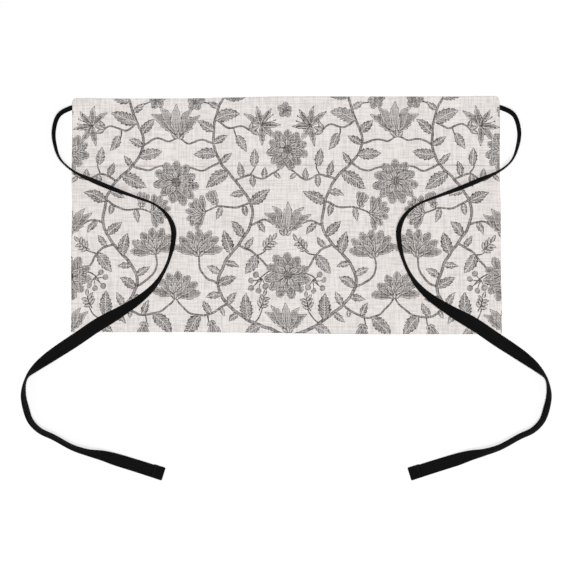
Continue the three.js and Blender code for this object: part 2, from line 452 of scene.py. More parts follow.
# %% Route of a tie
# Left tie from its sewn end to its free end: x and y in millimetres, roll in degrees (0 and 180
# lie flat, 90 stands on edge) and fold (1 is folded in three along its length, 0 is open).
TIE_ROUTE = [
    (-256.0, 140.5, 0, 1.0),
    (-276.5, 136.0, 0, 1.0),
    (-291.0, 127.0, 38, 0.58),
    (-297.5, 106.5, 43, 0.52),
    (-295.5, 87.5, 55, 0.39),
    (-288.5, 70.0, 88, 0.02),
    (-272.5, 55.5, 94, 0.0),
    (-246.0, 43.0, 109, 0.0),
    (-220.5, 32.5, 107, 0.0),
    (-193.0, 22.5, 98, 0.0),
    (-167.0, 12.0, 92, 0.0),
    (-151.5, -1.5, 106, 0.0),
    (-144.0, -18.5, 115, 0.0),
    (-144.5, -37.0, 112, 0.0),
    (-149.5, -57.5, 102, 0.0),
    (-157.5, -75.5, 104, 0.0),
    (-169.0, -92.0, 115, 0.0),
    (-186.0, -107.5, 127, 0.0),
    (-210.5, -123.5, 144, 0.0),
    (-241.0, -141.0, 180, 0.0),
    (-269.0, -160.0, 180, 0.0),
    (-303.0, -182.5, 155, 0.0),
    (-321.5, -197.0, 127, 0.0),
    (-332.0, -209.0, 98, 0.0),
    (-336.0, -229.5, 117, 0.0),
    (-333.0, -247.5, 125, 0.0),
    (-327.0, -264.0, 122, 0.0),
    (-315.5, -276.0, 120, 0.0),
    (-298.0, -284.5, 119, 0.0),
    (-273.0, -298.0, 119.5, 0.0),
    (-253.0, -304.5, 124, 0.0),
    (-235.0, -308.5, 146, 0.0),
    (-217.0, -314.0, 168, 0.0),
    (-189.5, -322.5, 172, 0.0),
    (-158.5, -332.5, 180, 0.0),
]
ROUTE_STEPS = 12  # between two points of the route
EDGE_RAMP = 18 * MM  # the tape comes down from the cloth's edge to the surface over this length


def smooth_through(points, steps):
    """Centripetal Catmull-Rom curve through the points, with that many steps between two of them."""
    points = np.asarray(points, float)
    before, after = 2 * points[0] - points[1], 2 * points[-1] - points[-2]
    points = np.vstack([before, points, after])
    t = np.arange(steps)[:, None] / steps
    spans = []
    for p0, p1, p2, p3 in zip(points, points[1:], points[2:], points[3:]):
        d0, d1, d2 = (np.sum((b - a) ** 2) ** 0.25 for a, b in ((p0, p1), (p1, p2), (p2, p3)))
        leave = d1 * ((p1 - p0) / d0 - (p2 - p0) / (d0 + d1) + (p2 - p1) / d1)
        arrive = d1 * ((p2 - p1) / d1 - (p3 - p1) / (d1 + d2) + (p3 - p2) / d2)
        bend = 3 * (p2 - p1) - 2 * leave - arrive
        twist = 2 * (p1 - p2) + leave + arrive
        spans.append(p1 + leave * t + bend * t**2 + twist * t**3)
    spans.append(points[-2:-1])
    return np.vstack(spans)


def unit(vectors):
    """One vector or a stack of them, each made one long."""
    return vectors / np.linalg.norm(vectors, axis=-1, keepdims=True)


def lengths_along(path):
    """How far along a path each of its points is."""
    return np.concatenate([[0], np.cumsum(np.linalg.norm(np.diff(path, axis=0), axis=1))])


def places_along(path, ways):
    """The places at these distances along a path of x, y points."""
    travelled = lengths_along(path)
    return np.column_stack([np.interp(ways, travelled, path[:, k]) for k in (0, 1)])


def softened(values, reach):
    """A running mean over reach steps to each side, with the end values carried on."""
    window = np.hanning(2 * reach + 3)[1:-1]
    padded = np.pad(values, reach, mode="edge")
    return np.convolve(padded, window / window.sum(), mode="valid")


def resting_height(x, y):
    """Top of what a tie lies on: the pocket panel, a slope beside its edges, or the surface."""
    outside = np.maximum(np.maximum(np.abs(x) - HALF_WIDTH, HEM_Y - y), 0)
    inside_x = np.clip(x, -HALF_WIDTH, HALF_WIDTH)
    inside_y = np.clip(y, HEM_Y, MOUTH_Y)
    slope = 1 - ease(outside, 0, EDGE_RAMP)
    return np.where(y < MOUTH_Y + EDGE_RAMP, slope * pocket_top(inside_x, inside_y), 0)


print("route of a tie:", len(TIE_ROUTE), "points")

# %% Cross-sections of a tie
UP = np.array([0.0, 0.0, 1.0])
TAPE_STEP = 2.5 * MM  # from one cross-section to the next
TAPE_THICKNESS = 1.2 * MM
TAPE_CLEARANCE = 0.15 * MM
TAPE_POINTS = 33  # across the tape
FINE_POINTS = 321  # across the tape where its bends are summed up
FOLD_PLACE = TAPE_WIDTH / 6  # of a fold, from the middle of the tape
FOLD_REACH = 1.1 * MM  # to each side of a fold, where the tape bends in it
CUP = radians(18)  # how far each edge of the tape curls where it stands up
EDGE_THICKNESS = 0.75  # of the tape's thickness
EDGE_ROUNDING = 0.3 * TAPE_THICKNESS
ROLL_REACH = 3  # cross-sections to each side over which roll and fold are evened out
LIFT_REACH = 4  # and over which the lift is


def tape_section(fold, cup):
    """Ring round the tape's section, as places across and through it, and how far across each is.
    Negative values fold and curl it the other way, as on the other tie."""
    across = np.linspace(-TAPE_WIDTH / 2, TAPE_WIDTH / 2, TAPE_POINTS)
    fine = np.linspace(across[0], across[-1], FINE_POINTS)
    first, second = (
        ease(fine, place - FOLD_REACH, place + FOLD_REACH) for place in (-FOLD_PLACE, FOLD_PLACE)
    )
    lean = pi * fold * (first - second) + cup * fine / fine[-1]
    step = fine[1] - fine[0]
    strip = np.column_stack([np.cumsum(np.cos(lean)), np.cumsum(np.sin(lean))]) * step
    strip -= (strip.max(0) + strip.min(0)) / 2
    spots = np.linspace(0, len(fine) - 1, TAPE_POINTS).round().astype(int)
    middle, lean = strip[spots], lean[spots]
    ahead = np.column_stack([np.cos(lean), np.sin(lean)])
    normal = np.column_stack([-ahead[:, 1], ahead[:, 0]])
    half = np.full(TAPE_POINTS, TAPE_THICKNESS / 2)
    half[[0, -1]] *= EDGE_THICKNESS
    top, bottom = middle + normal * half[:, None], middle - normal * half[:, None]
    right, left = middle[-1] + ahead[-1] * EDGE_ROUNDING, middle[0] - ahead[0] * EDGE_ROUNDING
    ring = np.vstack([top, right, bottom[::-1], left])
    measure = np.concatenate([across, across[-1:], across[::-1], across[:1]])
    return ring, measure


def tie_frames(side):
    """Middle, direction, across and through of the tape at each station, and its fold and cup."""
    route = np.array(TIE_ROUTE)
    rows = np.arange(len(route))
    course = smooth_through(route[:, :2] * (-side * MM, MM), ROUTE_STEPS)
    travelled = lengths_along(course)
    stations = np.linspace(0, travelled[-1], ceil(travelled[-1] / TAPE_STEP) + 1)
    row = np.interp(stations, travelled, np.linspace(0, rows[-1], len(course)))
    roll, fold = (softened(np.interp(row, rows, route[:, k]), ROLL_REACH) for k in (2, 3))
    roll = np.radians(roll) * side
    middle = np.column_stack([places_along(course, stations), np.zeros(len(stations))])
    ahead = unit(np.gradient(middle, axis=0))
    level = np.cross(UP, ahead)
    across = level * np.cos(roll)[:, None] + UP * np.sin(roll)[:, None]
    cup = CUP * np.sin(roll) ** 2 * (1 - fold)
    return middle, ahead, across, np.cross(ahead, across), fold, cup


def laid_rings(side):
    """The rings of a tie, each lifted until it rests on what lies under it, and its middle line."""
    middle, ahead, across, through, fold, cup = tie_frames(side)
    rings = []
    for k in range(len(middle)):
        ring, measure = tape_section(side * fold[k], side * cup[k])
        rings.append(middle[k] + ring[:, :1] * across[k] + ring[:, 1:] * through[k])
    rings = np.array(rings)
    support = resting_height(rings[..., 0], rings[..., 1]).max(1)
    padded = np.pad(support, LIFT_REACH, mode="edge")
    highest = np.array([padded[k:k + 2 * LIFT_REACH + 1].max() for k in range(len(support))])
    lift = softened(highest, LIFT_REACH) - rings[..., 2].min(1) + TAPE_CLEARANCE
    rings[..., 2] += lift[:, None]
    middle[:, 2] = lift
    return rings, measure, middle


print("ring of a folded section, mm:", np.round(np.ptp(tape_section(1, 0)[0], axis=0) / MM, 2))

# %% The turned end of a tie
END_HEM = 14 * MM
END_TURN = 0.6 * MM  # radius at which the free end turns back on itself
END_ASKEW = 0.8 * MM  # the turned part lies this far towards the waist
END_RINGS = 6  # in the turn, and as many in the hem
SEWN_RING = -2  # of the rings of the turned end, the one that is stitched


def hemmed_end(ring, ahead):
    """More rings after the last one: the free end turned back over itself, and its length."""
    centre = ring.mean(0)
    level = ring - centre
    rise = level @ UP
    flat = level - np.outer(rise, UP)
    askew = np.cross(UP, ahead) * END_ASKEW
    askew *= np.sign(askew[1])
    rings, extra = [], []
    for angle in np.linspace(0, pi, END_RINGS + 1)[1:]:
        turn_centre = centre + UP * END_TURN + askew * angle / pi
        spoke = ahead * sin(angle) - UP * cos(angle)
        rings.append(turn_centre + flat + np.outer(END_TURN - rise, spoke))
        extra.append(END_TURN * angle)
    turned_over = rings[-1]
    for back in np.linspace(0, END_HEM, END_RINGS + 1)[1:]:
        rings.append(turned_over - ahead * back)
        extra.append(END_TURN * pi + back)
    return np.array(rings), np.array(extra)


print("the free end is turned back by", round(END_HEM / MM), "mm")

# %% Mesh of a tie


def mesh_object(name, vertices, faces, materials):
    """A mesh with smooth shading, put in the scene."""
    mesh = bpy.data.meshes.new(name)
    mesh.from_pydata([tuple(v) for v in vertices], [], faces)
    for material in materials:
        mesh.materials.append(material)
    mesh.shade_smooth()
    piece = bpy.data.objects.new(name, mesh)
    bpy.context.scene.collection.objects.link(piece)
    return piece


def loft(rings):
    """Faces round a stack of rings, with both ends closed across the tape's thickness."""
    count, size = rings.shape[:2]
    faces = []
    for k in range(count - 1):
        a, b = k * size, (k + 1) * size
        faces += [(a + i, b + i, b + (i + 1) % size, a + (i + 1) % size) for i in range(size)]
    last = (count - 1) * size
    for i in range(TAPE_POINTS - 1):
        j = size - 2 - i
        faces.append((i, i + 1, j - 1, j))
        faces.append((last + j, last + j - 1, last + i + 1, last + i))
    right = TAPE_POINTS
    left = size - 1
    faces.append((right - 1, right, right + 1))
    faces.append((left - 1, left, 0))
    faces.append((last + right + 1, last + right, last + right - 1))
    faces.append((last, last + left, last + left - 1))
    return faces


def make_tie(name, node, side):
    rings, measure, middle = laid_rings(side)
    ahead = middle[-1] - middle[-2]
    ahead[2] = 0
    ahead = unit(ahead)
    end_rings, extra = hemmed_end(rings[-1], ahead)
    along = lengths_along(middle)
    along = np.concatenate([along, along[-1] + extra])
    rings = np.concatenate([rings, end_rings])
    tie = mesh_object(name, rings.reshape(-1, 3), loft(rings), [black_tape])
    size = rings.shape[1]
    corners = np.empty(len(tie.data.loops), int)
    tie.data.loops.foreach_get("vertex_index", corners)
    uv = np.column_stack([along[corners // size], measure[corners % size]])
    tie.data.uv_layers.new(name="tape").data.foreach_set("uv", uv.ravel())
    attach(tie, "root")
    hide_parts(node)
    return tie, middle, end_rings[SEWN_RING]


tie_left, left_middle, left_end = make_tie("tie_left_tape", "tie_left", -1)
tie_right, right_middle, right_end = make_tie("tie_right_tape", "tie_right", 1)
for tie, middle in ((tie_left, left_middle), (tie_right, right_middle)):
    length = round(lengths_along(middle)[-1] / MM)
    print(tie.name, "is", length, "mm long and has", len(tie.data.polygons), "faces")

# %% [markdown]
# ## The print
# The cloth carries a trailing floral of an old and common kind: vines that wander up the cloth,
# toothed leaves on both sides of them, and round, fan-shaped and lily-like flowers between, all in
# one grey ink with cut lines, as in a woodcut. Everything in it is a blade: a spine, and half a
# width at each point of the spine. A leaf is a blade with teeth, a petal is a short wide one, a
# stem is a long thin one and a berry is a round one. A drawing is a list of blades in millimetres,
# each with its kind and the share of ink in its fill, and later blades cover earlier ones.

# %% Stems, leaves and berries
PLAIN, LEAF, PETAL, STEM, BERRY = 0, 1, 2, 3, 4  # kinds of blade; a plain one has no ink
PALE, WASH, SHADE, DEEP, SOLID = 0.50, 0.70, 0.84, 0.92, 1.0
LEAF_POINTS = 8  # along the spine of a plain leaf
LEAF_ROUNDING = 0.8  # power that makes a leaf fuller towards its foot
TOOTH_PEAK = 0.86  # where a tooth is widest, as a share of its length
NOTCH = 0.26  # depth of the notch between two teeth, as a share of the leaf's width


def heading(degrees):
    """Unit vector that points up, turned anticlockwise."""
    return np.array([-sin(radians(degrees)), cos(radians(degrees))])


def turned(drawing, degrees, at=(0.0, 0.0)):
    """The drawing turned anticlockwise about its foot, and put at a place."""
    c, s = cos(radians(degrees)), sin(radians(degrees))
    turn = np.array([[c, s], [-s, c]])
    return [(kind, fill, spine @ turn + at, half) for kind, fill, spine, half in drawing]


def stem(path, wide, thin):
    """A stem along a path, wide at its foot and thin at its end."""
    path = np.asarray(path, float)
    return [(STEM, SHADE, path, np.linspace(wide, thin, len(path)) / 2)]


def leaf(length, width, bend=0.15, teeth=0, kind=LEAF, fill=SHADE):
    """A leaf that grows up from its foot, with a plain or a toothed edge."""
    t = np.linspace(0, 1, LEAF_POINTS)
    notch = np.ones_like(t)
    if teeth:
        start = np.arange(teeth)
        t = np.sort(np.concatenate([start / teeth, (start + TOOTH_PEAK) / teeth, [1.0]]))
        notch = 1 - NOTCH * (1 - (t * teeth) % 1)
    spine = np.column_stack([bend * length * t**2, length * t])
    girth = np.sin(pi * t**LEAF_ROUNDING) ** LEAF_ROUNDING
    return [(kind, fill, spine, width / 2 * girth * notch)]


def berry(x, y, radius, fill=WASH, points=6):
    turn = np.linspace(-pi / 2, pi / 2, points)
    spine = np.column_stack([np.full(points, x), y + radius * np.sin(turn)])
    return [(BERRY, fill, spine, radius * np.cos(turn))]


def sprig(size):
    """A thin stem with three pairs of small leaves and one at its end."""
    t = np.linspace(0, 0.8, 9)
    path = size * np.column_stack([0.15 * t**2, t])
    drawing = stem(path, 1.5, 1.0)
    for at in path[2:7:2]:
        for way in (-1, 1):
            drawing += turned(leaf(size * 0.42, size * 0.21, bend=-0.1 * way), 52 * way, at)
    return drawing + turned(leaf(size * 0.42, size * 0.22), -10, path[-1])


def berries(size):
    """Five berries on short stalks."""
    drawing = []
    for turn, reach in ((80, 0.5), (-80, 0.5), (38, 0.68), (-38, 0.68), (0, 0.82)):
        x, y = heading(turn) * reach * size
        drawing += stem([(0, 0), (x * 0.45, y * 0.55), (x, y)], 1.3, 1.0)
        drawing += berry(x, y, size * 0.18)
    return drawing


print("a large leaf has", len(leaf(28, 14, teeth=7)[0][2]), "points along its spine")

# %% Flowers
PETAL_PLACES = (0, 0.25, 0.5, 0.64, 0.72, 0.82, 0.88, 0.95, 1.0)  # of the points along its spine
PETAL_WIDEST = 0.62  # where a petal is widest, as a share of its length
PETAL_FOOT = 0.3  # its width at the foot, as a share of the widest
RAGGED = 0.2  # depth of the cuts in its end, as a share of its width


def petal(length, width, fill=WASH):
    """A petal that grows up from its foot, with a ragged end."""
    t = np.array(PETAL_PLACES)
    widening = PETAL_FOOT + (1 - PETAL_FOOT) * np.sin(pi / 2 * np.minimum(t / PETAL_WIDEST, 1))
    past = np.maximum(t - PETAL_WIDEST, 0) / (1 - PETAL_WIDEST)
    rounding = np.sqrt(np.maximum(1 - past**2, 0))
    ragged = 1 - RAGGED * ((np.arange(len(t)) % 2 == 0) & (t > PETAL_WIDEST))
    spine = np.column_stack([np.zeros_like(t), length * t])
    return [(PETAL, fill, spine, width / 2 * widening * rounding * ragged)]


def bloom(radius):
    """A round flower of three rings of petals round a seeded heart."""
    drawing = []
    foot = radius * 0.14
    for ring, (count, fill) in enumerate(((11, SHADE), (9, WASH), (7, PALE))):
        for k in range(count):
            length = radius * (1 - 0.25 * ring) * (1 + 0.07 * sin(2.4 * k + ring)) - foot
            turn = 360 * (k + ring / 2) / count
            drawing += turned(petal(length, 5.6 * length / count, fill), turn, foot * heading(turn))
    drawing += berry(0, 0, radius * 0.21, SOLID)
    for k in range(6):
        drawing += berry(*(heading(60 * k) * radius * 0.12), radius * 0.045, PALE, 4)
    return drawing


def calyx(size):
    """The cup of small leaves under a flower."""
    drawing = []
    for turn in (50, -50, 0):
        drawing += turned(leaf(size * 0.38, size * 0.2, bend=0, fill=SHADE), turn)
    return drawing


def fan_bloom(size):
    """A half-round flower seen from the side."""
    drawing = []
    for ring, (count, spread, fill) in enumerate(((7, 82, SHADE), (6, 62, WASH), (4, 40, PALE))):
        length = size * (0.86 - 0.2 * ring)
        for k in range(count):
            turn = spread * (2 * k / (count - 1) - 1)
            drawing += turned(petal(length, length * 0.4, fill), turn, (0, size * 0.14))
    return drawing + calyx(size * 0.75)


def tulip(size):
    """A cup-shaped flower of five pointed petals."""
    drawing = []
    for turn, fill in ((36, SHADE), (-36, SHADE), (18, WASH), (-18, WASH), (0, PALE)):
        shape = leaf(size * 0.88, size * 0.38, -0.22 * np.sign(turn), 5, PETAL, fill)
        drawing += turned(shape, turn, (0, size * 0.1))
    return drawing + calyx(size * 0.66)


def lily(size):
    """Six narrow petals that curl back, with four stamens."""
    drawing = []
    heart = np.array([0, size * 0.36])
    for turn, bend in ((105, -0.2), (-105, 0.2), (62, -0.22), (-62, 0.22), (24, -0.1), (-24, 0.1)):
        drawing += turned(leaf(size * 0.64, size * 0.24, bend, 4, PETAL), turn, heart)
    for turn in (-30, -10, 10, 30):
        tip = heart + heading(turn) * size * 0.5
        drawing += stem([heart, tip], 0.9, 0.9) + berry(*tip, 1.1, SOLID, 4)
    return drawing + calyx(size * 0.8)


def floret(size):
    """A small flower of five round petals."""
    drawing = []
    for k in range(5):
        drawing += turned(petal(size / 2, size * 0.42, SHADE if k % 2 else WASH), 72 * k)
    return drawing + berry(0, 0, size * 0.13, SOLID) + berry(0, 0, size * 0.06, PALE, 4)


def bud(size):
    drawing = []
    for turn in (20, -20, 0):
        drawing += turned(petal(size * 0.8, size * 0.42), turn, (0, size * 0.14))
    return drawing + calyx(size * 0.95)


print("a large bloom takes", len(bloom(30)), "blades")

# %% [markdown]
# ## Laying out the print
# Half of the design is charted between two upright lines, and its mirror image fills the other
# half, as in many woven and printed florals. The vines and the main flowers are charted one by one.
# Leaves then go along the vines on alternate sides wherever there is room for them, and small
# flowers, buds, berries and sprigs fill the widest gaps that are left, each on a stalk from the
# nearest vine. Room is kept as a list of discs that are taken, so nothing lands on anything else.

# %% Chart of half of the design
HALF_REPEAT = 140.0  # millimetres from one mirror line to the next
# Vines: width, then the x and y of the points that they pass through, up from the foot
VINES = [
    (4.4, [(0, -158), (18, -148), (46, -134), (74, -116), (88, -90), (80, -62), (60, -38), (46, -12),
           (48, 18), (64, 44), (84, 66), (95, 92), (90, 122), (76, 158)]),
    (3.0, [(74, -116), (96, -127), (118, -126), (132, -116), (140, -106)]),
    (3.0, [(88, -90), (104, -80), (113, -66), (112, -50)]),
    (3.0, [(60, -38), (42, -46), (30, -60), (16, -76), (0, -84)]),
    (2.8, [(46, -12), (30, -6), (14, -14), (0, -24)]),
    (2.8, [(48, 18), (68, 8), (88, 10), (106, 4)]),
    (2.8, [(64, 44), (44, 52), (28, 46), (14, 52), (0, 62)]),
    (2.8, [(84, 66), (104, 58), (122, 62), (140, 54)]),
    (2.8, [(95, 92), (112, 98), (128, 94), (140, 100)]),
    (2.8, [(90, 122), (74, 110), (56, 114), (44, 108)]),
]
# Flowers: what is drawn, x and y of its foot or middle, turn from upright, size, and the place
# along it and the share of its size that it takes up
FLOWERS = [
    (bloom, 0, -78, 0, 29, 0, 1.0),
    (tulip, 0, -28, 0, 44, 0.5, 0.46),
    (bloom, 0, 82, 0, 26, 0, 1.0),
    (tulip, 0, -152, 0, 40, 0.5, 0.46),
    (bloom, 140, 42, 0, 28, 0, 1.0),
    (tulip, 140, 98, 0, 46, 0.5, 0.46),
    (fan_bloom, 140, -108, 0, 36, 0.5, 0.7),
    (fan_bloom, 112, -52, 4, 36, 0.5, 0.66),
    (fan_bloom, 105, 4, -84, 26, 0.5, 0.6),
    (lily, 46, 109, 66, 40, 0.4, 0.6),
    (floret, 0, 132, 0, 20, 0, 0.5),
]
print(len(VINES), "vines and", len(FLOWERS), "main flowers in half of the design")

# %% Room that is taken
SPOT_STEP = 2.5
SPOTS_BESIDE = (3, HALF_REPEAT - 2)  # x of the spots, from and up to
SPOTS_UP = (-148, 149)  # and their y


class Room:
    """The places that are taken in half of the design, as discs."""

    def __init__(self):
        self.discs = []
        columns = np.arange(*SPOTS_BESIDE, SPOT_STEP)
        rows = np.arange(*SPOTS_UP, SPOT_STEP)
        self.spots = np.array([(x, y) for x in columns for y in rows])
        self.gaps = np.minimum(self.spots[:, 0], HALF_REPEAT - self.spots[:, 0])

    def take(self, x, y, radius):
        for mirrored in (x, -x, 2 * HALF_REPEAT - x):
            self.discs.append((mirrored, y, radius))
            away = np.hypot(self.spots[:, 0] - mirrored, self.spots[:, 1] - y) - radius
            self.gaps = np.minimum(self.gaps, away)

    def clearance(self, points):
        taken = np.array(self.discs)
        away = np.linalg.norm(points[:, None] - taken[None, :, :2], axis=2)
        return (away - taken[:, 2]).min(1)


print("spots that are tried for small pieces:", len(Room().spots))

# %% Leaves along the vines
FIRST_LEAF = 9  # from the foot of a vine
LAST_LEAF = 4  # from its end
LEAF_SPACING = 15.0
LEAF_LENGTHS = (30, 20, 25, 34, 18)
SMALLER_LEAVES = (20, 15, 11)  # tried where the first length has no room
LEAF_LEANS = (48, 66, 32)  # degrees from the vine
LEAF_BODY = ((0.45, 0.27), (0.75, 0.24), (1.0, 0.08))  # place along a leaf, half its width there
LEAF_WIDTH = 0.56  # of its length
LEAF_BEND = 0.16
LEAF_FILLS = (SHADE, DEEP, DEEP)
LEAF_MARGIN = 1.6
MIRROR_MARGIN = 2
LARGE_LEAF = 15
TOOTH_LENGTH = 4.6


def grow_leaves(room, path, width, count):
    """Leaves along a vine, on alternate sides. count is the number of places tried so far."""
    drawing = []
    along, girth = np.array(LEAF_BODY).T
    for way in np.arange(FIRST_LEAF, lengths_along(path)[-1] - LAST_LEAF, LEAF_SPACING):
        at, ahead = places_along(path, [way, way + 1])
        course = np.degrees(np.arctan2(at[0] - ahead[0], ahead[1] - at[1]))
        side = 1 if count % 2 else -1
        sizes = (LEAF_LENGTHS[count % len(LEAF_LENGTHS)], *SMALLER_LEAVES)
        count += 1
        beside = heading(course + side * 90) * width / 2
        for length, lean in ((size, lean) for size in sizes for lean in LEAF_LEANS):
            turn = course + side * lean
            body = at + np.outer(along * length, heading(turn)) + beside
            inside = (body[:, 0] > MIRROR_MARGIN) & (body[:, 0] < HALF_REPEAT - MIRROR_MARGIN)
            if inside.all() and (room.clearance(body) - girth * length).min() > LEAF_MARGIN:
                teeth = int(length // TOOTH_LENGTH) if length > LARGE_LEAF else 0
                fill = LEAF_FILLS[count % len(LEAF_FILLS)]
                shape = leaf(length, length * LEAF_WIDTH, -LEAF_BEND * side, teeth, LEAF, fill)
                drawing += turned(shape, turn, at)
                for (x, y), half in zip(body, girth * length):
                    room.take(x, y, half)
                break
    return drawing, count


print("leaves are", min(SMALLER_LEAVES), "to", max(LEAF_LENGTHS), "mm long")

# %% Small pieces in the gaps
FILLERS = (bud, sprig, leaf, floret, sprig, leaf, berries)
FILLER_GAP = 11.4
FILLER_MARGIN = 1.5
FILLER_REACH = 11.5
FILLER_LEAF = 1.15  # width of a leaf, as a share of half its length
FILLER_TEETH = 5
STALK_WIDTHS = (1.9, 1.3)  # at its foot and at its end
STALK_BOW = 0.12
STALK_STEPS = 4
STALK_DISCS = 6
STALK_ROOM = 0.9


def fill_gaps(room, vine_points):
    """Small pieces in the widest gaps, and their stalks."""
    stalks, drawing = [], []
    count = 0
    while room.gaps.max() > FILLER_GAP:
        spot = room.spots[room.gaps.argmax()]
        radius = min(room.gaps.max() - FILLER_MARGIN, FILLER_REACH)
        start = vine_points[np.linalg.norm(vine_points - spot, axis=1).argmin()]
        away = spot - start
        turn = np.degrees(np.arctan2(-away[0], away[1]))
        draw = FILLERS[count % len(FILLERS)]
        count += 1
        bow = start + away / 2 + np.array([-away[1], away[0]]) * STALK_BOW
        stalks += stem(smooth_through([start, bow, spot], STALK_STEPS), *STALK_WIDTHS)
        foot = spot - heading(turn) * radius
        if draw is floret:
            drawing += turned(floret(radius * 2), turn, spot)
        elif draw is leaf:
            shape = leaf(radius * 2, radius * FILLER_LEAF, teeth=FILLER_TEETH)
            drawing += turned(shape, turn, foot)
        else:
            drawing += turned(draw(radius * 2), turn, foot)
        room.take(*spot, radius)
        for part in np.linspace(0, 1, STALK_DISCS):
            room.take(*(start + away * part), STALK_ROOM)
    return stalks, drawing


print("small pieces are at most", 2 * FILLER_REACH, "mm across")

# %% The whole design
VINE_STEPS = 6
VINE_TAPER = 0.7
LONG_SWAY = 1.8  # millimetres by which a drawn line strays, in long waves
SHORT_SWAY = 0.5  # and in short ones


def half_design():
    """All blades of half of the design, in the order that they are printed."""
    room = Room()
    paths = [smooth_through(points, VINE_STEPS) for _, points in VINES]
    widths = [width for width, _ in VINES]
    vines = []
    for path, width in zip(paths, widths):
        vines += stem(path, width, width * VINE_TAPER)
        for x, y in path:
            room.take(x, y, width / 2)
    flowers = []
    for draw, x, y, turn, size, place, share in FLOWERS:
        flowers += turned(draw(size), turn, (x, y))
        room.take(*(np.array([x, y]) + heading(turn) * size * place), size * share)
    leaves = []
    count = 0
    for path, width in zip(paths, widths):
        grown, count = grow_leaves(room, path, width, count)
        leaves += grown
    stalks, fillers = fill_gaps(room, np.vstack(paths))
    return stalks + vines + leaves + fillers + flowers


def hand_drawn(spine):
    """The spine with the unevenness of a drawn line."""
    x, y = spine.T
    dx = LONG_SWAY * np.sin(y / 13.0 + 0.8) + SHORT_SWAY * np.sin(x / 3.7 + y / 5.1)
    dy = LONG_SWAY * np.sin(x / 12.0 + 2.1) + SHORT_SWAY * np.sin(x / 4.6 - y / 3.9)
    return np.column_stack([x + dx, y + dy])


def whole_design():
    """The design and its mirror images across the whole apron."""
    half = half_design()
    reach = ceil(HALF_WIDTH / MM / (2 * HALF_REPEAT))
    blades = []
    for repeat in range(-reach, reach + 1):
        for mirror in (1, -1):
            for kind, fill, spine, girth in half:
                placed = spine * (mirror, 1) + (2 * HALF_REPEAT * repeat, 0)
                if np.abs(placed[:, 0]).min() < HALF_WIDTH / MM + girth.max():
                    blades.append((kind, fill, hand_drawn(placed), girth))
    return blades


design = whole_design()
print("the print has", len(design), "blades with", sum(len(blade[2]) for blade in design), "points")

# %% [markdown]
# ## Cloth finish
# The cloth is a plain weave of uneven yarn. Thick places in the yarn run as pale and dark lines up
# and across it, which noise stretched along each way gives. The print is ink on top of the yarn, so
# it breaks up where the yarn is thick. Every corner of the printed mesh stores how far along its
# blade it is, how far to the side of the spine, and how far inside the edge, all in millimetres.
# From these the finish draws the outline, the veins of a leaf and the hatching of a petal, which
# stay sharp at any distance and cost no faces.

# %% Ink of the print
PEN = 0.8  # width of an outline, in millimetres
OUTLINE = 1.1  # ink in an outline
RIB = 0.45  # half the width of the pale line along the middle of a leaf
PETAL_RIM = 0.7  # width of the pale line inside the outline of a petal
VEIN_SPACING = 3.4
VEIN_SLANT = 0.9
VEIN_WOBBLE = 3.0  # millimetres
VEIN_SHARE = 0.74  # of the spacing that a pale vein takes up where no fleck narrows it
VEIN_FLECK = 1.1  # how much flecks do
HATCH_LINES = 2.2  # over half the width of a petal
HATCH_START = 0.5
HATCH_WOBBLE = 0.5
HATCH_SHARE = 0.56  # of a petal that is hatched at its foot,
HATCH_FADE = 0.02  # and how much less with every millimetre
CUT_LOSS = 0.8  # ink that is missing in a pale line
FLECK_LOSS = 0.7  # and in a fleck
FLECK_SHARE = 0.38
HALF_KIND = 0.5  # kinds are whole numbers, so this parts one from the next
LEAST_WIDTH = 0.01  # so that no width is divided by nothing
WOBBLE_SIZE = 3 * MM
FLECK_SIZE = 1.5 * MM


def even_noise(wire, place, size, detail=2.0):
    """Noise with features of one size up and across the cloth."""
    return wire.noise(place, (size, size, None), detail)


def print_ink(wire, place):
    """Share of ink at a place in the print, from the blade that it belongs to."""
    kind = wire.add("ShaderNodeAttribute", {"attribute_name": "kind"}, output="Fac")
    fill = wire.add("ShaderNodeAttribute", {"attribute_name": "fill"}, output="Fac")
    measure = wire.add("ShaderNodeAttribute", {"attribute_name": "blade"}, output="Vector")
    along, aside, inside = measure.parts()
    out = abs(aside)
    wobble = even_noise(wire, place, WOBBLE_SIZE)
    is_leaf = kind.below(LEAF + HALF_KIND)
    is_petal = kind.below(PETAL + HALF_KIND) - is_leaf
    fleck = even_noise(wire, place, FLECK_SIZE)
    vein = ((along - VEIN_SLANT * out + VEIN_WOBBLE * wobble) * (1 / VEIN_SPACING)).fraction()
    vein = vein.below(VEIN_SHARE - VEIN_FLECK * fleck)
    pale = is_leaf * vein.most(out.below(RIB)) + is_petal * inside.below(PEN + PETAL_RIM)
    across = aside / (out + inside + LEAST_WIDTH)
    hatch = (across * HATCH_LINES + HATCH_START + HATCH_WOBBLE * wobble).fraction()
    hatch = hatch.below(HATCH_SHARE - HATCH_FADE * along)
    ink = fill + (1 - fill) * is_petal * hatch
    ink = ink * (1 - CUT_LOSS * pale) * (1 - FLECK_LOSS * fleck.below(FLECK_SHARE))
    return ink.most(inside.below(PEN) * OUTLINE) * (1 - kind.below(PLAIN + HALF_KIND))


print("outlines are", PEN, "mm wide, and veins", VEIN_SPACING, "mm apart")

# %% Printed linen-look cloth
LINEN_PALE = (0.800, 0.757, 0.735, 1)
LINEN_DEEP = (0.620, 0.578, 0.558, 1)
INK = (0.040, 0.037, 0.0355, 1)
SLUB_ACROSS = 2.2 * MM
SLUB_ALONG = 60 * MM
YARN_ACROSS = 1.1 * MM
YARN_ALONG = 14 * MM
CLOTH_TONE = 0.62  # from deep, 0, to pale, 1, where the yarn is even,
SLUB_TONE = 2.0  # and how much thick places in the yarn change it
YARN_TONE = 2.6
BLOTCH_SIZE = 5 * MM
GRAIN_SIZE = 1.4 * MM
WEAVE_PITCH = 0.9 * MM


